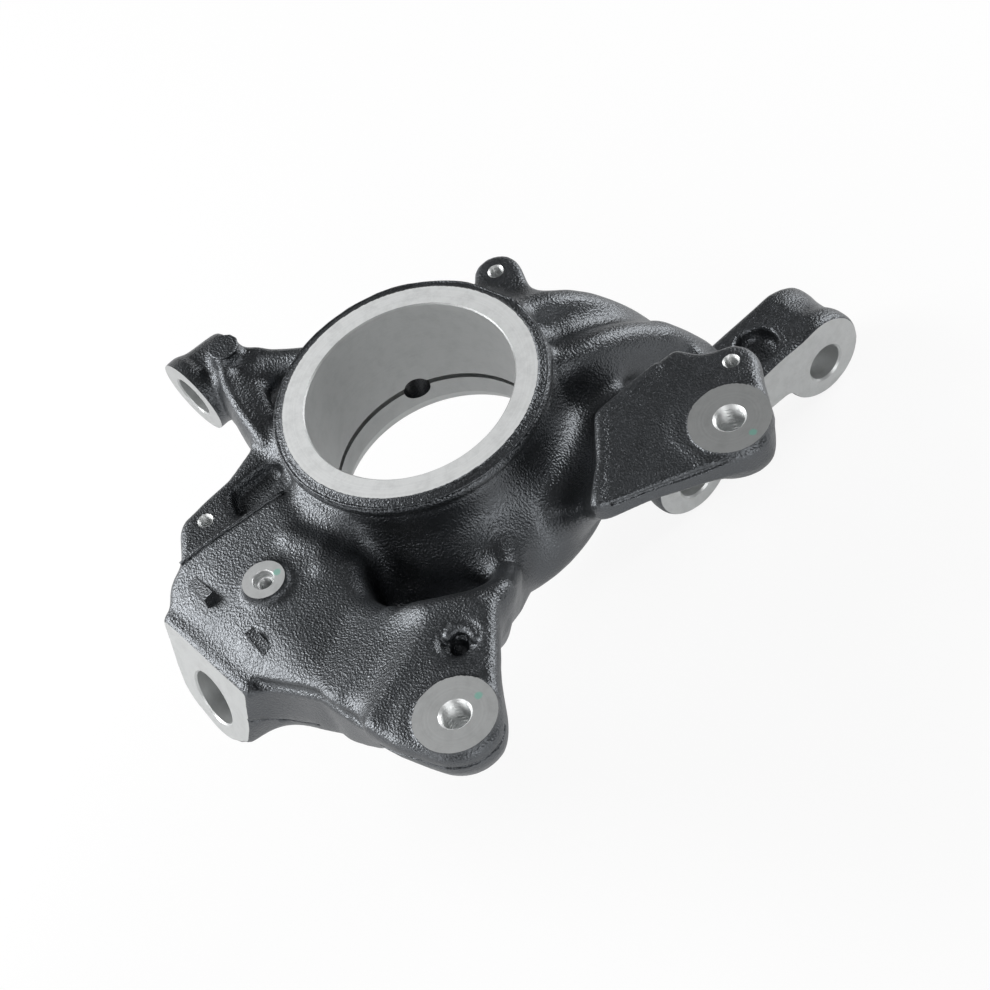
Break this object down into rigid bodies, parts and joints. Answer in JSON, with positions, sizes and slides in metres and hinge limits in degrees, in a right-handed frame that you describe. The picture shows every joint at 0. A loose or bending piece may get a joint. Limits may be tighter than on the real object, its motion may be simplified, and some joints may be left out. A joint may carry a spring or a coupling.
{
  "type": "steering knuckle",
  "caption": "Cast iron front steering knuckle: flared bearing hub, arched strut tongue, caliper lugs, ball joint block and open tie-rod arm.",
  "frame": {"origin": "centre of the machined hub face, in the mouth of the bearing bore", "axes": "+Z along the bearing axis and outboard, +X up the vehicle, +Y toward the tie-rod arm"},
  "size_m": [0.2925, 0.248, 0.1142],
  "materials": {
    "casting": "black coated rough casting, with bare machined faces and bores"
  },
  "bodies": {
    "root": {"knuckle_casting": "casting"}
  },
  "joints": []
}
